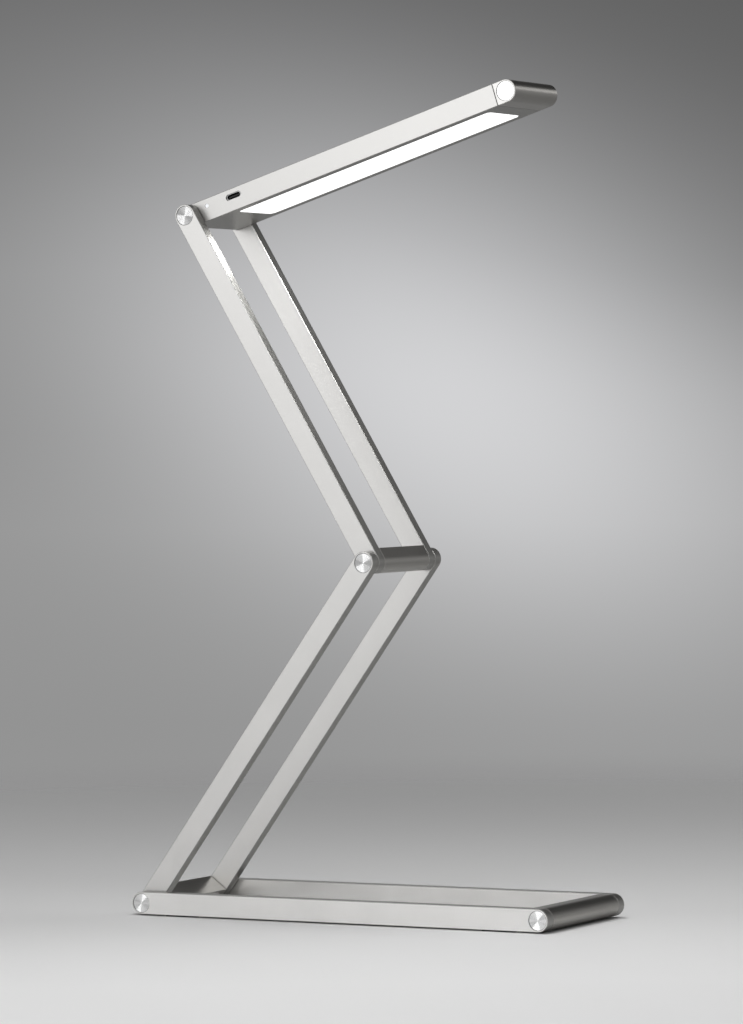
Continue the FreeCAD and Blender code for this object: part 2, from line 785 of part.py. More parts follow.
def switch_cable():
    """The flat cable from the control board along the far side to the switch."""
    half = RIBBON_THICKNESS / 2
    z_range = (RIBBON_LOW, RIBBON_HIGH)
    end_y = SWITCH_BACK_Y + half
    turn_x = RIBBON_TURN_X
    along = box((RIBBON_START, turn_x - RIBBON_BEND), (RIBBON_Y - half, RIBBON_Y + half), z_range)
    across = box(
        (turn_x - half, turn_x + half), (end_y + RIBBON_BEND, RIBBON_Y - RIBBON_BEND), z_range
    )
    to_switch = box(
        (turn_x + RIBBON_BEND, HEAD_SPAN + SWITCH_SIZE / 2), (end_y - half, end_y + half), z_range
    )
    first_bend = quarter_bend(turn_x - RIBBON_BEND, RIBBON_Y - RIBBON_BEND, 0)
    second_bend = quarter_bend(turn_x + RIBBON_BEND, end_y + RIBBON_BEND, 180)
    return along.fuse([first_bend, across, second_bend, to_switch]).removeSplitter()


def led_cable():
    """The short flat cable between the control board and the light board."""
    foot_end = LED_CABLE_X + RIBBON_THICKNESS
    y_range = (-LED_CABLE_HALF_WIDTH, LED_CABLE_HALF_WIDTH)
    upright = box((LED_CABLE_X, foot_end), y_range, (LED_BOARD_TOP, BOARD_TOP))
    tab = box((BOARD_END, foot_end), y_range, (BOARD_TOP - RIBBON_THICKNESS, BOARD_TOP))
    return upright.fuse(tab).removeSplitter()


def battery_leads():
    """Two short leads from the battery to its connector."""
    leads = []
    for side in (-1, 1):
        start = V(LED_CABLE_X + RIBBON_THICKNESS, side * LEAD_Y, LEAD_Z)
        length = BATTERY_START - start.x
        leads.append(Part.makeCylinder(LEAD_RADIUS, length, start, V(1, 0, 0)))
    return Part.makeCompound(leads)


# ---- Places ----


def turned(pivot, rise):
    """The place of a link that points the given number of degrees above +X."""
    return FreeCAD.Placement(pivot, FreeCAD.Rotation(V(0, -1, 0), rise))


def along(pivot, rise, distance):
    """The point at a distance along a link."""
    angle = math.radians(rise)
    return pivot + V(distance * math.cos(angle), 0, distance * math.sin(angle))


BASE_HINGE = V(-BASE_SPAN / 2, 0, AXIS_Z)
BASE_FRONT = V(BASE_SPAN / 2, 0, AXIS_Z)
ELBOW = along(BASE_HINGE, LOWER_ARM_RISE, LOWER_ARM_SPAN)
HEAD_HINGE = along(ELBOW, UPPER_ARM_RISE, UPPER_ARM_SPAN)

BASE = turned(BASE_FRONT, 180)
LOWER_ARM = turned(BASE_HINGE, LOWER_ARM_RISE)
UPPER_ARM = turned(ELBOW, UPPER_ARM_RISE)
HEAD = turned(HEAD_HINGE, HEAD_RISE)


def save(node, shape, place=FreeCAD.Placement()):
    """Write one piece, moved to its place."""
    placed = shape.copy()
    placed.Placement = place.multiply(shape.Placement)
    placed.exportStep(os.path.join("parts", node + ".step"))


def save_base():
    """The base frame with its feet and both pairs of caps."""
    near_bar = side_bar(BASE_SPAN, BASE_LANE, hinged_at_crossbar=False)
    far_bar = far_copy(near_bar)
    for node, bar in (("base_bar_near", near_bar), ("base_bar_far", far_bar)):
        placed = bar.copy()
        placed.Placement = BASE.multiply(bar.Placement)
        save(node, placed.cut(foot_pockets()))
    save("base_crossbar", crossbar(BASE_LANE), BASE)
    save("base_dowels", frame_dowels(BASE_LANE), BASE)
    save("base_front_screws", pair(front_screw()), BASE)
    save("base_front_caps", caps(BASE_LANE, 0), BASE)
    save("base_hinge_caps", caps(BASE_LANE, BASE_SPAN), BASE)
    save("rubber_feet", feet())


def save_hinge(name, outer_lane, place):
    """The screws and washers of one hinge, which turn with its inner link."""
    save(name + "_screws", pair(hinge_screw(outer_lane)), place)
    save(name + "_friction_washers", pair(friction_washer(outer_lane)), place)
    save(name + "_spring_washers", pair(spring_washer(outer_lane)), place)


def save_arm(name, span, lane, end_caps, place):
    """An arm frame with the caps of the hinge at its upper end."""
    near_bar = side_bar(span, lane, hinged_at_crossbar=True)
    save(name + "_bar_near", near_bar, place)
    save(name + "_bar_far", far_copy(near_bar), place)
    save(name + "_crossbar", crossbar(lane), place)
    save(name + "_dowels", frame_dowels(lane), place)
    save(end_caps, caps(lane, span), place)


def save_head():
    """Everything in the light head."""
    pieces = {
        "head_housing": head_housing(),
        "head_thread_inserts": thread_inserts(),
        "head_nose": nose_end(),
        "nose_disc": nose_disc(),
        "power_button": power_button(),
        "button_clip": button_clip(),
        "switch_plunger": switch_plunger(),
        "button_switch": button_switch(),
        "switch_pad": switch_pad(),
        "diffuser": diffuser(),
        "reflector_tray": reflector_tray(),
        "leds": leds(),
        "led_board": led_board(),
        "insulator_sheet": insulator_sheet(),
        "battery": battery(),
        "battery_tapes": battery_tapes(),
        "battery_leads": battery_leads(),
        "control_board": control_board(),
        "board_components": board_components(),
        "usb_shell": usb_shell(),
        "usb_tongue": usb_tongue(),
        "indicator_lens": indicator_lens(),
        "charge_led": charge_led(),
        "switch_cable": switch_cable(),
        "led_cable": led_cable(),
    }
    for node, shape in pieces.items():
        save(node, shape, HEAD)


os.makedirs("parts", exist_ok=True)
save_base()
save_arm("lower_arm", LOWER_ARM_SPAN, LOWER_LANE, "elbow_caps", LOWER_ARM)
save_hinge("base_hinge", BASE_LANE, LOWER_ARM)
save_arm("upper_arm", UPPER_ARM_SPAN, UPPER_LANE, "head_hinge_caps", UPPER_ARM)
save_hinge("elbow", LOWER_LANE, UPPER_ARM)
save_head()
save_hinge("head_hinge", UPPER_LANE, HEAD)
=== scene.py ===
import bpy
import json
import math
from mathutils import Matrix, Vector

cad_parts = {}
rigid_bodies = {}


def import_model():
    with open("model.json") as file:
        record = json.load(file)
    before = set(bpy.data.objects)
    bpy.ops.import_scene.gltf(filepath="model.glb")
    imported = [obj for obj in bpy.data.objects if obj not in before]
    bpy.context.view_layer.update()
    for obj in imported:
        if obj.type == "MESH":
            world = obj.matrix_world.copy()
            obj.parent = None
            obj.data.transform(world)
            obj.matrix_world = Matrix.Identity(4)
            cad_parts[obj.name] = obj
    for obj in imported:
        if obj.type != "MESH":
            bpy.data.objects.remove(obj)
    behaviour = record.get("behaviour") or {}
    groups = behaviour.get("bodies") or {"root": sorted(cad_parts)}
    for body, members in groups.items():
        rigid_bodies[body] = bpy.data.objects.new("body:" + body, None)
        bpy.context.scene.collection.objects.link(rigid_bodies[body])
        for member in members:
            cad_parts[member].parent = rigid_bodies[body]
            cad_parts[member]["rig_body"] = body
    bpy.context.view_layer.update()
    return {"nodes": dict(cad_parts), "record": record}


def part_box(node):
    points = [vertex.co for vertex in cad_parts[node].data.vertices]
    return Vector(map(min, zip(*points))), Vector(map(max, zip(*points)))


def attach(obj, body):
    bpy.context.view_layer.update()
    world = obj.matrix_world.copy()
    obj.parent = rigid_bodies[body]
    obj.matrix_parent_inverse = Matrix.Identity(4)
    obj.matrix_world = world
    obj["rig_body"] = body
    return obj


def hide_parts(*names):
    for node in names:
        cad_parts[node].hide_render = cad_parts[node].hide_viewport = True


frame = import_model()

# A folding desk lamp: three nested frames of flat satin metal bars and a slim light head.
# Lengths are in metres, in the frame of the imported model.

MM = 0.001
SLOT_OF = {part["node"]: part["material_slot"] for part in frame["record"]["subparts"]}

# The camera of the photograph, which is 1024 pixels high.
PHOTO_HEIGHT = 1024
SENSOR = 36.0
CAMERA_PLACE = Vector((1.2099, -2.1497, 0.2600))
CAMERA_AZIMUTH = math.radians(29.360)
CAMERA_DROP = math.radians(1.0227)
CAMERA_ROLL = math.radians(-0.7758)
FOCAL_PIXELS = 4624.2


# ---------------------------------------------------------------- colours and shader nodes

def linear(level):
    """A display level from 0 to 255 as linear light."""
    part = level / 255
    return part / 12.92 if part <= 0.04045 else ((part + 0.055) / 1.055) ** 2.4


def colour(red, green=None, blue=None):
    """A colour from display levels, or a grey from one level."""
    levels = (red, red, red) if green is None else (red, green, blue)
    return tuple(linear(level) for level in levels) + (1.0,)


def set_inputs(node, tree, values):
    """Sets each named input to its value, or links it where the value is a socket."""
    for name, value in values.items():
        if isinstance(value, bpy.types.NodeSocket):
            tree.links.new(value, node.inputs[name])
        else:
            node.inputs[name].default_value = value


def add(tree, kind, inputs=None, **settings):
    """A shader node with its settings, and its inputs set or linked."""
    made = tree.nodes.new("ShaderNode" + kind)
    for name, value in settings.items():
        setattr(made, name, value)
    set_inputs(made, tree, inputs or {})
    return made


def math_node(tree, operation, first, second=0.0, clamp=False):
    return add(tree, "Math", {0: first, 1: second}, operation=operation, use_clamp=clamp).outputs[0]


def scaled(tree, vector, factor):
    """A vector or a colour times a number."""
    return add(tree, "VectorMath", {0: vector, 3: factor}, operation="SCALE").outputs[0]


def add_colours(tree, first, second):
    return add(tree, "VectorMath", {0: first, 1: second}, operation="ADD").outputs[0]


def blend_colours(tree, share, first, second):
    """The first colour where share is 0 and the second where it is 1."""
    mixed = add(tree, "Mix", {0: share, 6: first, 7: second}, data_type="RGBA")
    return mixed.outputs[2]


def remap(tree, value, start, end, low, high, smooth=False):
    """The value's range from start to end, carried over to low to high and held beyond it."""
    kind = "SMOOTHSTEP" if smooth else "LINEAR"
    inputs = {"Value": value, "From Min": start, "From Max": end, "To Min": low, "To Max": high}
    return add(tree, "MapRange", inputs, interpolation_type=kind).outputs["Result"]


# Where nearly all values of a noise lie.
NOISE_RANGE = (0.3, 0.7)


def spread(tree, noise, low=0.0, high=1.0):
    """A noise's usual range, carried over to low to high."""
    return remap(tree, noise, *NOISE_RANGE, low, high)


def group_of(name, inputs, outputs):
    """An empty shader node group, with its input and output nodes."""
    tree = bpy.data.node_groups.new(name, "ShaderNodeTree")
    for socket, value in inputs.items():
        made = tree.interface.new_socket(socket, in_out="INPUT", socket_type="NodeSocketFloat")
        made.default_value = value
    for socket in outputs:
        tree.interface.new_socket(socket, in_out="OUTPUT", socket_type="NodeSocketFloat")
    return tree, tree.nodes.new("NodeGroupInput").outputs, tree.nodes.new("NodeGroupOutput").inputs


def use(tree, group, **values):
    """The outputs of a node group placed in a material with its own values."""
    placed = tree.nodes.new("ShaderNodeGroup")
    placed.node_tree = group
    inputs = {key.replace("_", " ").capitalize(): value for key, value in values.items()}
    set_inputs(placed, tree, inputs)
    return placed.outputs


def place_in_millimetres(tree):
    """The place in the object's own frame, in millimetres."""
    return scaled(tree, add(tree, "TexCoord").outputs["Object"], 1 / MM)


def make_grain():
    """Blasted or moulded grain: fine pits, and slow clouds over a few centimetres."""
    tree, given, out = group_of("grain", {"Size": 0.2, "Cloud size": 25.0}, ["Height", "Cloud"])
    where = place_in_millimetres(tree)
    fine_scale = math_node(tree, "DIVIDE", 1.0, given["Size"])
    cloud_scale = math_node(tree, "DIVIDE", 1.0, given["Cloud size"])
    fine = add(tree, "TexNoise", {"Vector": where, "Scale": fine_scale, "Detail": 2.0, "Roughness": 0.6})
    cloud = add(tree, "TexNoise", {"Vector": where, "Scale": cloud_scale, "Detail": 3.0})
    tree.links.new(fine.outputs[0], out["Height"])
    tree.links.new(cloud.outputs[0], out["Cloud"])
    return tree


def make_brushing():
    """Fine scratches along Y, as left by drawing the metal across a belt."""
    tree, given, out = group_of("brushing", {"Pitch": 0.12, "Run": 9.0}, ["Height", "Streak"])
    where = place_in_millimetres(tree)
    part = add(tree, "SeparateXYZ", {0: where}).outputs
    across_x = math_node(tree, "DIVIDE", part["X"], given["Pitch"])
    along = math_node(tree, "DIVIDE", part["Y"], given["Run"])
    across_z = math_node(tree, "DIVIDE", part["Z"], given["Pitch"])
    stretched = add(tree, "CombineXYZ", {0: across_x, 1: along, 2: across_z}).outputs[0]
    fine = add(tree, "TexNoise", {"Vector": stretched, "Scale": 1.0, "Detail": 2.0})
    wide = add(tree, "TexNoise", {"Vector": stretched, "Scale": 0.16, "Detail": 1.0})
    tree.links.new(fine.outputs[0], out["Height"])
    tree.links.new(wide.outputs[0], out["Streak"])
    return tree


# A cosine: surfaces that turn by less than this over the edge's width count as smooth.
SMOOTH_LIMIT = 0.96


def make_worn_edge():
    """A mask that is 1 on sharp edges, where anodising rubs thin, and 0 on smooth faces."""
    tree, given, out = group_of("worn edge", {"Width": 0.4, "Gain": 3.0}, ["Mask"])
    metres = math_node(tree, "MULTIPLY", given["Width"], MM)
    rounded = add(tree, "Bevel", {"Radius": metres}, samples=4).outputs[0]
    facing = add(tree, "NewGeometry").outputs["Normal"]
    alike = add(tree, "VectorMath", {0: rounded, 1: facing}, operation="DOT_PRODUCT").outputs["Value"]
    turned = math_node(tree, "SUBTRACT", SMOOTH_LIMIT, alike)
    mask = math_node(tree, "MULTIPLY", turned, given["Gain"], clamp=True)
    tree.links.new(mask, out["Mask"])
    return tree


def make_painted_crevice_shade():
    """Painted shade: a mask that is 1 in the open and falls towards 0 in seams and corners, where light is
    lost, to darken a base colour there.
    """
    tree, given, out = group_of("painted_crevice_shade", {"Reach": 1.0, "Depth": 0.7}, ["Open"])
    metres = math_node(tree, "MULTIPLY", given["Reach"], MM)
    open_share = add(tree, "AmbientOcclusion", {"Distance": metres}, samples=6).outputs["AO"]
    lost = math_node(tree, "SUBTRACT", 1.0, open_share)
    kept = math_node(tree, "SUBTRACT", 1.0, math_node(tree, "MULTIPLY", lost, given["Depth"]), clamp=True)
    tree.links.new(kept, out["Open"])
    return tree


def make_turning():
    """Rings about a Y axis through Centre x, Centre z, as a lathe tool leaves them."""
    inputs = {"Centre x": 0.0, "Centre z": 0.0, "Pitch": 0.1}
    tree, given, out = group_of("turning", inputs, ["Height", "Shade"])
    where = place_in_millimetres(tree)
    part = add(tree, "SeparateXYZ", {0: where}).outputs
    east = math_node(tree, "SUBTRACT", part["X"], given["Centre x"])
    up = math_node(tree, "SUBTRACT", part["Z"], given["Centre z"])
    across = add(tree, "CombineXYZ", {0: east, 1: up}).outputs[0]
    radius = add(tree, "VectorMath", {0: across}, operation="LENGTH").outputs["Value"]
    steps = math_node(tree, "DIVIDE", radius, given["Pitch"])
    line = add(tree, "CombineXYZ", {0: steps}).outputs[0]
    rings = add(tree, "TexNoise", {"Vector": line, "Scale": 1.0, "Detail": 1.0})
    slow = add(tree, "TexNoise", {"Vector": line, "Scale": 0.15, "Detail": 1.0})
    tree.links.new(rings.outputs[0], out["Height"])
    tree.links.new(slow.outputs[0], out["Shade"])
    return tree


GRAIN = make_grain()
BRUSHING = make_brushing()
WORN_EDGE = make_worn_edge()
PAINTED_CREVICE_SHADE = make_painted_crevice_shade()
TURNING = make_turning()


def new_material(name):
    made = bpy.data.materials.new(name)
    made.use_nodes = True
    return made, made.node_tree, made.node_tree.nodes["Principled BSDF"]


def bumped(tree, height, strength, depth):
    """A normal roughened by a height, whose full range is depth millimetres."""
    inputs = {"Height": height, "Strength": strength, "Distance": depth * MM}
    return add(tree, "Bump", inputs).outputs[0]


# How far a surface faces +Y or -Y: where the wide faces start, and where the rounded corners lie.
WIDE_FACE_START = (0.55, 0.95)
CORNER_START = (0.2, 0.5)
CORNER_END = (0.85, 0.97)
CORNER_MATTING = 0.3


def blasted_metal(name, face, side, roughness, side_roughness, painted_seam_shade):
    """Clear anodised bars: bead-blasted wide faces, and darker narrow sides brushed across."""
    made, tree, shader = new_material(name)
    grain = use(tree, GRAIN, size=0.16, cloud_size=28.0)
    brushing = use(tree, BRUSHING, pitch=0.14, run=6.0)
    edge = use(tree, WORN_EDGE, width=0.3, gain=2.5)["Mask"]
    worn = math_node(tree, "MULTIPLY", edge, 0.12)
    facing = add(tree, "NewGeometry").outputs["Normal"]
    sideways = math_node(tree, "ABSOLUTE", add(tree, "SeparateXYZ", {0: facing}).outputs["Y"])
    wide = remap(tree, sideways, *WIDE_FACE_START, 0.0, 1.0, smooth=True)
    fleck = spread(tree, grain["Height"], 0.975, 1.025)
    drift = spread(tree, grain["Cloud"], 0.97, 1.03)
    shade = math_node(tree, "MULTIPLY", fleck, drift)
    # Painted shade: the base colour is darkened in seams, corners and close to other parts.
    painted_crevice_shade = use(tree, PAINTED_CREVICE_SHADE, reach=1.1, depth=painted_seam_shade)["Open"]
    level = math_node(tree, "MULTIPLY", shade, painted_crevice_shade)
    body = scaled(tree, blend_colours(tree, wide, side, face), level)
    height = add(tree, "Mix", {0: wide, 2: brushing["Height"], 3: grain["Height"]}).outputs[0]
    polish = remap(tree, wide, 0.0, 1.0, side_roughness, roughness)
    corner_in = remap(tree, sideways, *CORNER_START, 0.0, 1.0)
    corner_out = remap(tree, sideways, *CORNER_END, 1.0, 0.0)
    corner = math_node(tree, "MULTIPLY", corner_in, corner_out)
    matted = math_node(tree, "ADD", polish, math_node(tree, "MULTIPLY", corner, CORNER_MATTING))
    set_inputs(shader, tree, {
        "Base Color": blend_colours(tree, worn, body, colour(238)),
        "Metallic": 1.0,
        "Roughness": math_node(tree, "ADD", matted, spread(tree, grain["Cloud"], -0.015, 0.02)),
        "Normal": bumped(tree, height, 0.3, 0.01),
    })
    return made


def brushed_metal(name, dark, light, roughness):
    """Metal brushed along Y, on the crossbars and the round nose of the head."""
    made, tree, shader = new_material(name)
    brushing = use(tree, BRUSHING, pitch=0.11, run=10.0)
    grain = use(tree, GRAIN, size=0.12, cloud_size=18.0)
    edge = use(tree, WORN_EDGE, width=0.3, gain=2.0)["Mask"]
    body = blend_colours(tree, spread(tree, brushing["Streak"]), dark, light)
    # Painted shade: the base colour is darkened in seams, corners and close to other parts.
    painted_crevice_shade = use(tree, PAINTED_CREVICE_SHADE, reach=1.1, depth=0.9)["Open"]
    shaded = scaled(tree, body, painted_crevice_shade)
    worn = math_node(tree, "MULTIPLY", edge, 0.1)
    set_inputs(shader, tree, {
        "Base Color": blend_colours(tree, worn, shaded, colour(225)),
        "Metallic": 1.0,
        "Roughness": spread(tree, grain["Cloud"], roughness - 0.015, roughness + 0.015),
        "Normal": bumped(tree, brushing["Height"], 0.12, 0.008),
    })
    return made


def turned_metal(name, pivot):
    """Bright face-turned metal whose rings run round the pivot."""
    made, tree, shader = new_material(name)
    turning = use(tree, TURNING, centre_x=pivot.x / MM, centre_z=pivot.z / MM, pitch=0.05)
    shade = blend_colours(tree, spread(tree, turning["Shade"]), colour(243), colour(252))
    set_inputs(shader, tree, {
        "Base Color": shade,
        "Metallic": 1.0,
        "Roughness": spread(tree, turning["Shade"], 0.12, 0.16),
        "Normal": bumped(tree, turning["Height"], 0.35, 0.006),
    })
    return made


def plain_grained(name, dark, light, roughness, grain_size=0.25, relief=0.01, strength=0.4, **values):
    """A moulded, rolled or coated material: grained, slightly clouded, a little worn at its edges."""
    made, tree, shader = new_material(name)
    grain = use(tree, GRAIN, size=grain_size, cloud_size=9.0)
    edge = use(tree, WORN_EDGE, width=0.2, gain=2.0)["Mask"]
    body = blend_colours(tree, spread(tree, grain["Cloud"]), dark, light)
    lifted = blend_colours(tree, math_node(tree, "MULTIPLY", edge, 0.25), body, light)
    settings = {key.replace("_", " ").title(): value for key, value in values.items()}
    set_inputs(shader, tree, {
        "Base Color": lifted,
        "Roughness": spread(tree, grain["Height"], roughness - 0.03, roughness + 0.03),
        "Normal": bumped(tree, grain["Height"], strength, relief),
        **settings,
    })
    return made


def lit_opal(name, strength):
    """Opal sheet lit from behind by two rows of lights, a little weaker at its rim."""
    made, tree, shader = new_material(name)
    grain = use(tree, GRAIN, size=0.4, cloud_size=12.0)
    rim = use(tree, WORN_EDGE, width=1.6, gain=1.2)["Mask"]
    even = blend_colours(tree, spread(tree, grain["Cloud"]), colour(252), colour(255))
    set_inputs(shader, tree, {
        "Base Color": colour(240),
        "Roughness": spread(tree, grain["Height"], 0.42, 0.5),
        "Emission Color": blend_colours(tree, rim, even, colour(236)),
        "Emission Strength": strength,
        "Normal": bumped(tree, grain["Height"], 0.2, 0.01),
    })
    return made


WINDOW_GLOW = 1.05
INDICATOR_GLOW = 0.5


# Wide faces, narrow sides, the roughness of each, and how deep the painted seam shade is. The face colours
# are lighter and darker copies of one anodised aluminium, standing in for how light falls on each part:
# the base painted lighter, the head painted darker.
BLASTED = {
    "satin_aluminium": (colour(228, 227, 225), colour(149, 148, 145), 0.38, 0.4, 0.6),
    "base_aluminium_painted_lighter": (colour(245, 244, 242), colour(149, 148, 145), 0.36, 0.4, 0.6),
    "head_aluminium_painted_darker": (colour(220, 219, 217), colour(148, 147, 144), 0.38, 0.36, 0.3),
    "nose_aluminium": (colour(226, 225, 223), colour(153, 151, 147), 0.36, 0.3, 0.0),
}
# Dark and light streaks, and roughness. The three crossbars are lighter and darker copies of one brushed
# finish, standing in for how light falls on each: the elbow and front ones painted darker.
BRUSHED = {
    "crossbar_aluminium": (colour(194, 192, 188), colour(198, 196, 192), 0.31),
    "elbow_crossbar_painted_darker": (colour(158, 156, 152), colour(162, 160, 156), 0.31),
    "front_crossbar_painted_darker": (colour(153, 151, 147), colour(157, 155, 151), 0.305),
}
# Dark and light clouds, roughness, and where it isn't the usual one the grain: size, relief, strength.
ROLLED = {
    "screw_steel": (colour(58), colour(84), 0.34, 0.1),
    "spring_steel": (colour(168), colour(196), 0.24, 0.1),
    "shell_steel": (colour(176), colour(204), 0.26, 0.08),
    "brass": (colour(196, 158, 84), colour(222, 188, 112), 0.28, 0.1),
}
MOULDED = {
    "acetal": (colour(44), colour(58), 0.45, 0.2),
    "rubber": (colour(26), colour(40), 0.72, 0.3, 0.03, 0.8),
    "white_plastic": (colour(226), colour(238), 0.5),
    "lamp_yellow": (colour(228, 204, 92), colour(244, 226, 128), 0.35, 0.2),
    "light_board": (colour(222), colour(236), 0.4),
    "green_board": (colour(14, 74, 46), colour(26, 98, 62), 0.3, 0.4),
    "black_plastic": (colour(20), colour(34), 0.42, 0.2),
    "battery_foil": (colour(168, 172, 176), colour(196, 199, 202), 0.3, 1.2, 0.05),
    "foam": (colour(58), colour(78), 0.85, 0.5, 0.08, 0.9),
    "film": (colour(192, 120, 38), colour(214, 148, 58), 0.25, 0.6),
    "lead_red": (colour(150, 22, 18), colour(176, 34, 28), 0.45, 0.4),
}
CLEAR = (colour(236, 240, 244), colour(250, 252, 255), 0.12, 0.5, 0.004)


def make_materials():
    """A finish for each material slot of the record, but for the turned one, and for FINISH_OF."""
    made = {"opal": lit_opal("opal", WINDOW_GLOW)}
    for name, values in BLASTED.items():
        made[name] = blasted_metal(name, *values)
    for name, values in BRUSHED.items():
        made[name] = brushed_metal(name, *values)
    for name, values in ROLLED.items():
        made[name] = plain_grained(name, *values, metallic=1.0)
    for name, values in MOULDED.items():
        made[name] = plain_grained(name, *values)
    glow = {"emission_color": CLEAR[1], "emission_strength": INDICATOR_GLOW}
    made["clear_plastic"] = plain_grained("clear_plastic", *CLEAR, **glow)
    return made


MATERIALS = make_materials()
# Nodes whose finish isn't quite that of their slot: the nose has its own smoother finish, and the others
# get copies of one metal that are painted lighter or darker for how light falls on them.
FINISH_OF = {
    "base_bar_near": "base_aluminium_painted_lighter",
    "base_bar_far": "base_aluminium_painted_lighter",
    "base_crossbar": "front_crossbar_painted_darker",
    "lower_arm_crossbar": "crossbar_aluminium",
    "upper_arm_crossbar": "elbow_crossbar_painted_darker",
    "head_housing": "head_aluminium_painted_darker",
    "head_nose": "nose_aluminium",
}


def finish_nodes():
    """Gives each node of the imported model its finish; turned nodes get rings about their own pivot."""
    for name, part in frame["nodes"].items():
        slot = FINISH_OF.get(name, SLOT_OF[name])
        finish = MATERIALS.get(slot)
        if finish is None:
            low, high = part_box(name)
            finish = turned_metal(name + "_finish", (low + high) / 2)
        part.data.materials.clear()
        part.data.materials.append(finish)


# ---------------------------------------------------------------- modelling with operators

def deselect_all():
    for other in bpy.context.scene.objects:
        other.select_set(False)


def name_piece(name):
    """Names the primitive just added."""
    piece = bpy.context.object
    piece.name = name
    piece.data.name = name
    return piece


DISC_SIDES = 72
DISC_THICKNESS = 0.8 * MM
DISC_BEVEL = 0.15 * MM
GROOVES = 20
GROOVE_RISE = 0.0355 * MM
CENTRE_RADIUS = 0.35 * MM
DISC_SMOOTH_ANGLE = math.radians(25)


def model_disc(name, radius):
    """A turned disc: its face looks along -Y at y = 0, with fine rings of even slope."""
    deselect_all()
    bpy.ops.mesh.primitive_circle_add(vertices=DISC_SIDES, radius=radius, fill_type="NGON")
    piece = name_piece(name)
    bpy.ops.object.mode_set(mode="EDIT")
    bpy.ops.mesh.select_all(action="SELECT")
    bpy.ops.mesh.extrude_region_move(TRANSFORM_OT_translate={"value": (0, 0, DISC_THICKNESS - DISC_BEVEL)})
    bpy.ops.mesh.inset(thickness=DISC_BEVEL, depth=DISC_BEVEL)
    step = (radius - DISC_BEVEL - CENTRE_RADIUS) / (GROOVES * 2)
    for rise in (-GROOVE_RISE, GROOVE_RISE) * GROOVES:
        bpy.ops.mesh.inset(thickness=step, depth=rise)
    bpy.ops.mesh.select_all(action="SELECT")
    bpy.ops.mesh.normals_make_consistent(inside=False)
    bpy.ops.object.mode_set(mode="OBJECT")
    turn_to_face = Matrix.Rotation(math.radians(90), 4, "X")
    piece.data.transform(Matrix.Translation((0, DISC_THICKNESS, 0)) @ turn_to_face)
    bpy.ops.object.shade_smooth_by_angle(angle=DISC_SMOOTH_ANGLE)
    return piece


def copy_piece(piece, name, matrix):
    """A copy with its own mesh, moved by the matrix."""
    made = piece.copy()
    made.data = piece.data.copy()
    made.name = name
    made.data.name = name
    made.data.transform(matrix)
    bpy.context.scene.collection.objects.link(made)
    return made


def dress(piece, finish, body, replaced=()):
    """Finish, slot and body of a new piece, and the nodes that it stands for."""
    piece.data.materials.clear()
    piece.data.materials.append(finish)
    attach(piece, body)
    if replaced:
        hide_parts(*replaced)


CAP_NODES = ("base_front_caps", "base_hinge_caps", "elbow_caps", "head_hinge_caps")
FACING_FAR = Matrix.Rotation(math.pi, 4, "Z")


def make_caps():
    """The turned caps on both faces of every pivot, in place of their plain solids."""
    low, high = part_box(CAP_NODES[0])
    pattern = model_disc("cap_pattern", (high.x - low.x) / 2)
    for node in CAP_NODES:
        low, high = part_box(node)
        pivot = (low + high) / 2
        finish = turned_metal(node + "_finish", pivot)
        near_place = Matrix.Translation((pivot.x, low.y, pivot.z))
        far_place = Matrix.Translation((pivot.x, high.y, pivot.z))
        near = copy_piece(pattern, node + "_near", near_place)
        far = copy_piece(pattern, node + "_far", far_place @ FACING_FAR)
        body = frame["nodes"][node]["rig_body"]
        dress(near, finish, body, [node])
        dress(far, finish, body)
    bpy.data.objects.remove(pattern)


# ---------------------------------------------------------------- floor, backdrop and lights

FLOOR_RADIUS = 1.6
FLOOR_SIDES = 96
FLOOR_FADE_START = 0.55
FLOOR_FADE_END = 1.25
VIEW_AXIS = Vector((-math.sin(CAMERA_AZIMUTH), math.cos(CAMERA_AZIMUTH), 0.0))


def grey_ramp(tree, value, steps):
    """A grey that follows display levels given at positions of the value."""
    first, last = steps[0][0], steps[-1][0]
    share = remap(tree, value, first, last, 0.0, 1.0)
    ramp = add(tree, "ValToRGB", {0: share})
    stops = ramp.color_ramp.elements
    for index, (place, level) in enumerate(steps):
        at = (place - first) / (last - first)
        stop = stops[index] if index < 2 else stops.new(at)
        stop.position = at
        stop.color = colour(level)
    return ramp.outputs[0]


# The floor's levels along the camera's axis, in metres from the lamp's middle: a painted light falloff,
# paler in front and darker behind.
PAINTED_FLOOR_FALLOFF_STEPS = [(-0.6, 246), (-0.3, 234), (0.0, 204), (0.3, 194), (0.6, 185), (1.0, 174)]

# The backdrop's levels by elevation in degrees: the floor below, then grey that darkens upwards.
BACKDROP_STEPS = [
    (-9.0, 228), (-7.2, 222), (-6.3, 205), (-5.8, 192), (-5.3, 177), (-4.95, 167), (-4.55, 153),
    (-4.1, 148), (-3.6, 147), (-1.2, 149), (0.6, 138), (2.4, 119), (3.9, 110), (5.3, 100), (9.0, 80),
]
# The grey leans: at the top of the view it is darker on the right. The lean starts above the
# horizon, in degrees, and dies away beside the view.
BACKDROP_LEAN = -0.235
LEAN_START = (0.0, 2.0)
LEAN_FALL = -0.005
BACKDROP_GLOW = {
    "azimuth": 28.5, "elevation": 0.7, "width": 3.1, "height": 1.9, "tilt": 25.0, "level": 0.396,
}
GLOW_TINT = (0.985, 0.99, 1.02)
# The glow that the lamp's round ends reflect, behind it on the right.
REFLECTED_GLOW = {
    "azimuth": -28.0, "elevation": 3.0, "width": 10.0, "height": 6.0, "tilt": 0.0, "level": 0.12,
}

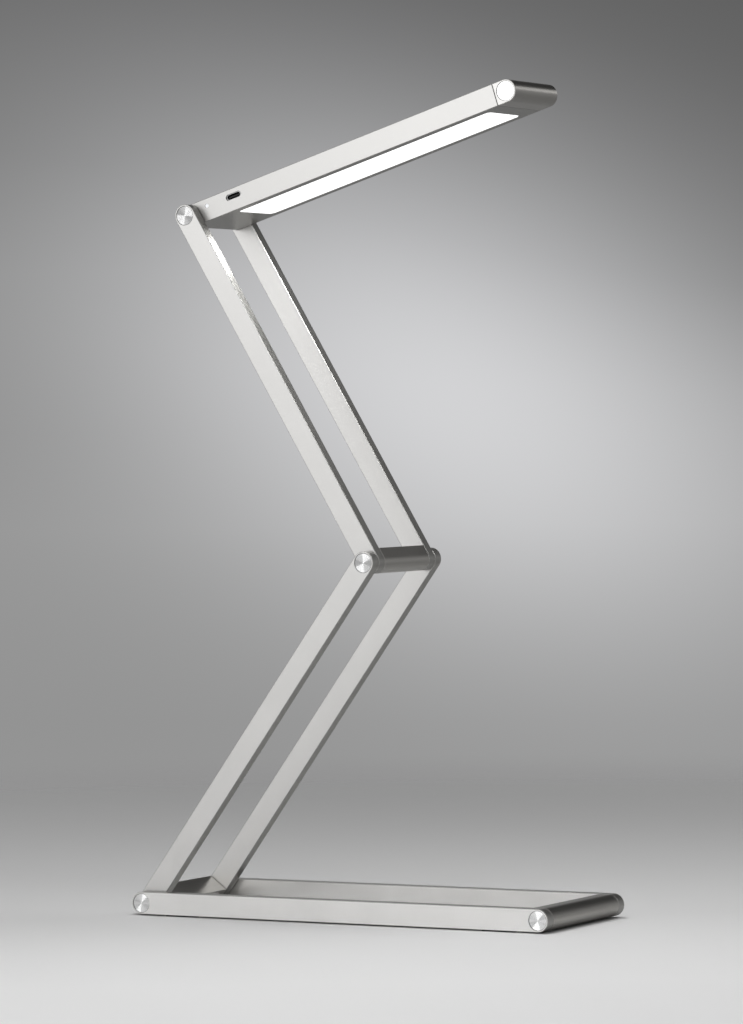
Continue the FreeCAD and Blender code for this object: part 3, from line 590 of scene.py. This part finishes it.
# Round the photograph's view, the backdrop goes over to a plain studio, in degrees from the glow.
BACKDROP_REACH = {"azimuth": (9.0, 22.0), "elevation": (10.0, 17.0)}
PLAIN_STEPS = [(-90.0, 170), (0.0, 166), (12.0, 156), (30.0, 146), (90.0, 150)]
# Its far floor gets less light than the floor by the lamp, and its wall starts between these.
GROUND_SHARE = 0.8
WALL_START = (-11.0, 4.0)

# The studio as the metal sees it, by elevation in degrees: the lit side, the dim side and the fill.
LIT_SIDE_STEPS = [
    (-90.0, 190), (-20.0, 216), (-8.0, 240), (0.0, 248), (9.0, 248), (16.0, 236), (25.0, 198),
    (40.0, 180), (60.0, 200), (90.0, 200),
]
LIT_SIDE_STRENGTH = 1.04
DIM_SIDE_STEPS = [
    (-90.0, 185), (-30.0, 150), (-15.0, 145), (-4.0, 146), (5.0, 152), (12.0, 150), (18.0, 116),
    (23.0, 92), (29.0, 76), (40.0, 66), (55.0, 90), (90.0, 190),
]
FILL_STEPS = [(-90.0, 190), (-20.0, 200), (0.0, 216), (30.0, 222), (55.0, 250), (90.0, 255)]
# How far each direction belongs to the lit side, by degrees from -Y towards -X.
LIT_SHARE_STEPS = [
    (-180.0, 0), (-50.0, 0), (-30.0, 70), (-14.0, 96), (0.0, 158), (14.0, 212), (28.0, 248),
    (42.0, 255), (52.0, 212), (62.0, 140), (80.0, 90), (115.0, 0), (180.0, 0),
]
# How far each direction is filled, so that the faces turned away from the key aren't lost.
FILL_SHARE_STEPS = [
    (-180.0, 0), (-150.0, 0), (-125.0, 240), (-60.0, 240), (-30.0, 0), (80.0, 0), (102.0, 240),
    (140.0, 240), (162.0, 0), (180.0, 0),
]
# Above these elevations every direction is filled.
FILL_FROM_ABOVE = (47.0, 63.0)
# The dim side gets darker towards the left of these azimuths and above these elevations.
DIM_SIDE_SHADES = [
    {"azimuth": (-20.0, 4.0), "elevation": (6.0, 16.0), "depth": 0.65},
    {"azimuth": (12.0, 22.0), "elevation": (-14.0, -6.0), "depth": 0.8},
]
# A glow straight behind the lamp, low down.
REAR_GLOW = {
    "azimuth": 2.0, "elevation": -4.0, "width": 9.0, "height": 9.0, "tilt": 0.0, "level": 0.42,
}
# The even light that rough surfaces get from all sides.
AMBIENT = (0.33, 0.33, 0.33, 1.0)


def glow_at(tree, azimuth, elevation, glow):
    """A soft oval patch of light on the backdrop, placed, sized and tilted in degrees."""
    east = math_node(tree, "SUBTRACT", azimuth, glow["azimuth"])
    up = math_node(tree, "SUBTRACT", elevation, glow["elevation"])
    cosine, sine = math.cos(math.radians(glow["tilt"])), math.sin(math.radians(glow["tilt"]))
    along = math_node(
        tree, "ADD", math_node(tree, "MULTIPLY", east, cosine), math_node(tree, "MULTIPLY", up, sine)
    )
    across = math_node(
        tree, "SUBTRACT", math_node(tree, "MULTIPLY", up, cosine), math_node(tree, "MULTIPLY", east, sine)
    )
    wide = math_node(tree, "POWER", math_node(tree, "DIVIDE", along, glow["width"]), 2.0)
    high = math_node(tree, "POWER", math_node(tree, "DIVIDE", across, glow["height"]), 2.0)
    fall = math_node(tree, "MULTIPLY", math_node(tree, "ADD", wide, high), -0.5)
    level = math_node(tree, "MULTIPLY", math_node(tree, "EXPONENT", fall), glow["level"])
    return scaled(tree, GLOW_TINT, level)


def leaning_elevation(tree, azimuth, elevation):
    """The elevation that the backdrop's grey follows: tilted near the view's axis, level elsewhere."""
    east = math_node(tree, "SUBTRACT", azimuth, BACKDROP_GLOW["azimuth"])
    fall = math_node(tree, "MULTIPLY", math_node(tree, "POWER", east, 2.0), LEAN_FALL)
    bounded = math_node(tree, "MULTIPLY", east, math_node(tree, "EXPONENT", fall))
    height = remap(tree, elevation, *LEAN_START, 0.0, BACKDROP_LEAN)
    return math_node(tree, "ADD", elevation, math_node(tree, "MULTIPLY", bounded, height))


def backdrop_share(tree, azimuth, elevation):
    """A mask that is 1 within the photograph's view and 0 well outside it."""
    aside = math_node(tree, "ABSOLUTE", math_node(tree, "SUBTRACT", azimuth, BACKDROP_GLOW["azimuth"]))
    across = remap(tree, aside, *BACKDROP_REACH["azimuth"], 1.0, 0.0, smooth=True)
    rise = math_node(tree, "ABSOLUTE", elevation)
    upright = remap(tree, rise, *BACKDROP_REACH["elevation"], 1.0, 0.0, smooth=True)
    return math_node(tree, "MULTIPLY", across, upright)


def plain_studio(tree, ray, elevation):
    """The floor's grey carried on below the horizon, and a plain wall above it."""
    depth = add(tree, "VectorMath", {0: ray, 1: VIEW_AXIS}, operation="DOT_PRODUCT").outputs["Value"]
    paper = grey_ramp(tree, depth, PAINTED_FLOOR_FALLOFF_STEPS)
    wall = grey_ramp(tree, elevation, PLAIN_STEPS)
    risen = remap(tree, elevation, *WALL_START, 0.0, 1.0, smooth=True)
    return blend_colours(tree, risen, scaled(tree, paper, GROUND_SHARE), wall)


def seen_backdrop(tree, ray, azimuth, elevation):
    """What the camera sees: the photograph's backdrop with its glow, and a plain studio round it."""
    backdrop = grey_ramp(tree, leaning_elevation(tree, azimuth, elevation), BACKDROP_STEPS)
    framed = add_colours(tree, backdrop, glow_at(tree, azimuth, elevation, BACKDROP_GLOW))
    plain = plain_studio(tree, ray, elevation)
    return blend_colours(tree, backdrop_share(tree, azimuth, elevation), plain, framed)


def dim_studio(tree, azimuth, elevation):
    """The side of the studio away from the key, with its shades and its two glows."""
    shades = []
    for values in DIM_SIDE_SHADES:
        leftward = remap(tree, azimuth, *values["azimuth"], 0.0, values["depth"], smooth=True)
        upward = remap(tree, elevation, *values["elevation"], 0.0, 1.0)
        shades.append(math_node(tree, "MULTIPLY", leftward, upward))
    kept = math_node(tree, "SUBTRACT", 1.0, math_node(tree, "MAXIMUM", *shades))
    levels = scaled(tree, grey_ramp(tree, elevation, DIM_SIDE_STEPS), kept)
    glows = [glow_at(tree, azimuth, elevation, glow) for glow in (REAR_GLOW, REFLECTED_GLOW)]
    return add_colours(tree, levels, add_colours(tree, *glows))


def mirrored_studio(tree, side, azimuth, elevation):
    """What the metal reflects: the lit side, the dim side and the fill, by degrees from -Y."""
    lit_side = scaled(tree, grey_ramp(tree, elevation, LIT_SIDE_STEPS), LIT_SIDE_STRENGTH)
    dim_side = dim_studio(tree, azimuth, elevation)
    unfilled = blend_colours(tree, grey_ramp(tree, side, LIT_SHARE_STEPS), dim_side, lit_side)
    overhead = remap(tree, elevation, *FILL_FROM_ABOVE, 0.0, 1.0, smooth=True)
    filled = math_node(tree, "MAXIMUM", grey_ramp(tree, side, FILL_SHARE_STEPS), overhead)
    return blend_colours(tree, filled, unfilled, grey_ramp(tree, elevation, FILL_STEPS))


def make_world():
    """A world that shows the backdrop, reflects the studio and lights the floor evenly."""
    world = bpy.data.worlds.new("studio")
    bpy.context.scene.world = world
    world.use_nodes = True
    tree = world.node_tree
    tree.nodes.clear()
    ray = add(tree, "TexCoord").outputs["Generated"]
    part = add(tree, "SeparateXYZ", {0: ray}).outputs
    elevation = math_node(tree, "DEGREES", math_node(tree, "ARCSINE", part["Z"]))
    leftward = math_node(tree, "MULTIPLY", part["X"], -1.0)
    forward = math_node(tree, "MULTIPLY", part["Y"], -1.0)
    azimuth = math_node(tree, "DEGREES", math_node(tree, "ARCTAN2", leftward, part["Y"]))
    side = math_node(tree, "DEGREES", math_node(tree, "ARCTAN2", leftward, forward))
    shown = seen_backdrop(tree, ray, azimuth, elevation)
    studio = mirrored_studio(tree, side, azimuth, elevation)
    path = add(tree, "LightPath").outputs
    seen = math_node(tree, "MAXIMUM", path["Is Camera Ray"], path["Is Transmission Ray"])
    unseen = blend_colours(tree, path["Is Glossy Ray"], AMBIENT, studio)
    final = blend_colours(tree, seen, unseen, shown)
    lit = add(tree, "Background", {"Color": final, "Strength": 1.0})
    tree.links.new(lit.outputs[0], add(tree, "OutputWorld").inputs[0])


def make_floor():
    """A round floor with a painted light falloff, paler in front, that fades into the backdrop well away
    from the lamp.
    """
    deselect_all()
    bpy.ops.mesh.primitive_circle_add(vertices=FLOOR_SIDES, radius=FLOOR_RADIUS, fill_type="TRIFAN")
    floor = name_piece("floor")
    made, tree, shader = new_material("floor_paper")
    where = add(tree, "TexCoord").outputs["Object"]
    depth = add(tree, "VectorMath", {0: where, 1: VIEW_AXIS}, operation="DOT_PRODUCT").outputs["Value"]
    away = add(tree, "VectorMath", {0: where}, operation="LENGTH").outputs["Value"]
    share = remap(tree, away, FLOOR_FADE_START, FLOOR_FADE_END, 0.0, 1.0, smooth=True)
    set_inputs(shader, tree, {
        # Painted light falloff: the floor's base colour is paler in front of the lamp and darker behind
        # it.
        "Base Color": grey_ramp(tree, depth, PAINTED_FLOOR_FALLOFF_STEPS),
        "Roughness": 0.6,
        "Specular IOR Level": 0.15,
    })
    below = add(tree, "NewGeometry").outputs["Backfacing"]
    hidden = math_node(tree, "MAXIMUM", share, below)
    clear = add(tree, "BsdfTransparent").outputs[0]
    mixed = add(tree, "MixShader", {0: hidden, 1: shader.outputs[0], 2: clear}).outputs[0]
    tree.links.new(mixed, tree.nodes["Material Output"].inputs[0])
    floor.data.materials.append(made)


LAMPS = {
    "key_softbox": {"place": (-0.29, -1.0, 0.70), "size": (0.74, 0.76), "power": 1.7, "mirrored": True},
    "top_softbox": {"place": (0.1, -0.1, 1.5), "size": (1.3, 1.1), "power": 10.0, "mirrored": False},
    "nose_card": {"place": (0.272, 0.393, 0.565), "size": (0.135, 0.11), "power": 0.06, "mirrored": True},
}
LIT_POINT = Vector((0.0, 0.0, 0.25))


def area_light(name, size, power):
    """A rectangular light that the camera doesn't see."""
    light = bpy.data.lights.new(name, "AREA")
    light.shape = "RECTANGLE"
    light.size, light.size_y = size
    light.energy = power
    lamp = bpy.data.objects.new(name, light)
    bpy.context.scene.collection.objects.link(lamp)
    lamp.visible_camera = False
    return lamp


def make_lamps():
    """The studio's lamps, turned towards the middle of the object."""
    for name, values in LAMPS.items():
        lamp = area_light(name, values["size"], values["power"])
        lamp.location = values["place"]
        aim = LIT_POINT - lamp.location
        lamp.rotation_euler = aim.to_track_quat("-Z", "Y").to_euler()
        lamp.visible_glossy = values["mirrored"]


WINDOW_LIGHT_POWER = 0.45
# From the middle of the opal sheet to the light, and how much smaller the light is than the sheet.
WINDOW_LIGHT_DROP = 1.6 * MM
WINDOW_LIGHT_MARGINS = (8 * MM, 6 * MM)
HEAD_RISE = math.radians(16.9)


def make_window_light():
    """The light that the lit window throws: it lies just under the opal sheet and moves with the head."""
    low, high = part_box("diffuser")
    length = (high.x - low.x) / math.cos(HEAD_RISE) - WINDOW_LIGHT_MARGINS[0]
    width = high.y - low.y - WINDOW_LIGHT_MARGINS[1]
    lamp = area_light("window_light", (length, width), WINDOW_LIGHT_POWER)
    down = Vector((math.sin(HEAD_RISE), 0.0, -math.cos(HEAD_RISE)))
    lamp.rotation_euler = (0.0, -HEAD_RISE, 0.0)
    lamp.location = (low + high) / 2 + down * WINDOW_LIGHT_DROP
    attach(lamp, "head")


def make_camera():
    """The photograph's camera: azimuth towards -X from +Y, a small drop and a small roll."""
    level = Vector((math.cos(CAMERA_AZIMUTH), math.sin(CAMERA_AZIMUTH), 0.0))
    ahead = VIEW_AXIS * math.cos(CAMERA_DROP) + Vector((0, 0, -math.sin(CAMERA_DROP)))
    above = level.cross(ahead)
    right = level * math.cos(CAMERA_ROLL) + above * math.sin(CAMERA_ROLL)
    up = above * math.cos(CAMERA_ROLL) - level * math.sin(CAMERA_ROLL)
    lens = bpy.data.cameras.new("photo_camera")
    lens.sensor_width = SENSOR
    lens.lens = FOCAL_PIXELS * SENSOR / PHOTO_HEIGHT
    camera = bpy.data.objects.new("photo_camera", lens)
    bpy.context.scene.collection.objects.link(camera)
    turn = Matrix((right, up, -ahead)).transposed().to_4x4()
    camera.matrix_world = Matrix.Translation(CAMERA_PLACE) @ turn
    bpy.context.scene.camera = camera


deselect_all()
finish_nodes()
make_caps()
make_world()
make_floor()
make_lamps()
make_window_light()
make_camera()
bpy.context.scene.view_settings.view_transform = "Standard"
